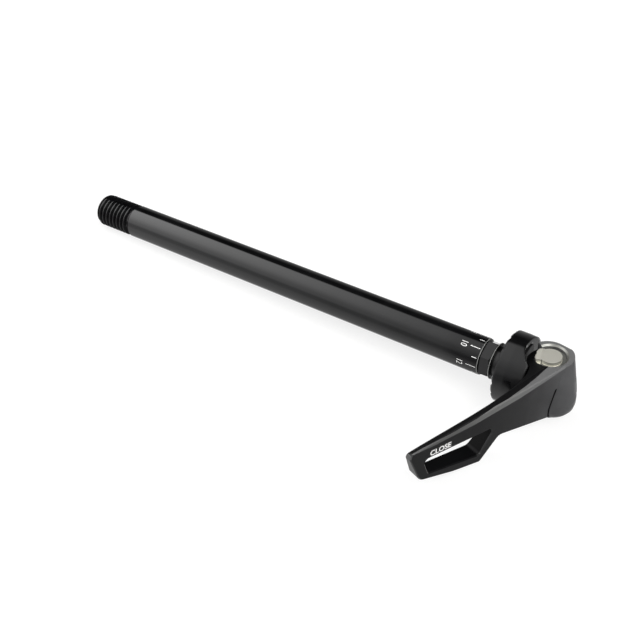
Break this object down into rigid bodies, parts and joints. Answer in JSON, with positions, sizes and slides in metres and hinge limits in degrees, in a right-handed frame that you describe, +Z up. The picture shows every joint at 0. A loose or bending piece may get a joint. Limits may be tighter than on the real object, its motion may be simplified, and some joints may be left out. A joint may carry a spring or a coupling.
{
  "type": "bicycle thru axle",
  "caption": "Tubular bicycle thru axle with a threaded end, a serrated clamp drum and a cam lever with a slotted grip that draws the drum against the frame.",
  "frame": {"origin": "on the floor, under the middle of the bounding box of the lying part", "axes": "+X along the axle towards the lever end, +Z up from the floor it lies on, -Y the side the closed lever reaches to"},
  "size_m": [0.1916, 0.0682, 0.0231],
  "materials": {
    "black_anodised": "gloss black anodised",
    "black_satin": "satin black anodised",
    "bright_steel": "machined, plated",
    "steel": "dark zinc",
    "polymer": "matte"
  },
  "bodies": {
    "shaft": {"axle_shaft": "black_anodised"},
    "head": {"draw_stud": "steel", "retaining_screw": "steel", "retaining_washer": "steel", "lock_collar": "black_anodised", "pivot_barrel": "bright_steel", "return_spring": "steel"},
    "drum": {"clamp_drum": "black_anodised", "cam_pad": "polymer"},
    "lever": {"lever": "black_satin"}
  },
  "joints": [
    {"name": "index_turn", "type": "hinge", "parent": "shaft", "child": "head", "pos_m": [0.06609, 0.02258, 0.01124], "axis": [0.9995, 0, 0.0331], "continuous": true},
    {"name": "lever_pivot", "type": "hinge", "parent": "head", "child": "lever", "pos_m": [0.08673, 0.02258, 0.01193], "axis": [-0.033, -0.0927, 0.9951], "range_deg": [0, 100]},
    {"name": "drum_slide", "type": "slide", "parent": "head", "child": "drum", "axis": [0.9995, 0, 0.0331], "range_m": [0, 0.0009], "deforming": ["return_spring"]}
  ],
  "couplings": [
    {"joint": "drum_slide", "follows": "lever_pivot", "m_per_rad": 0.00051566}
  ]
}
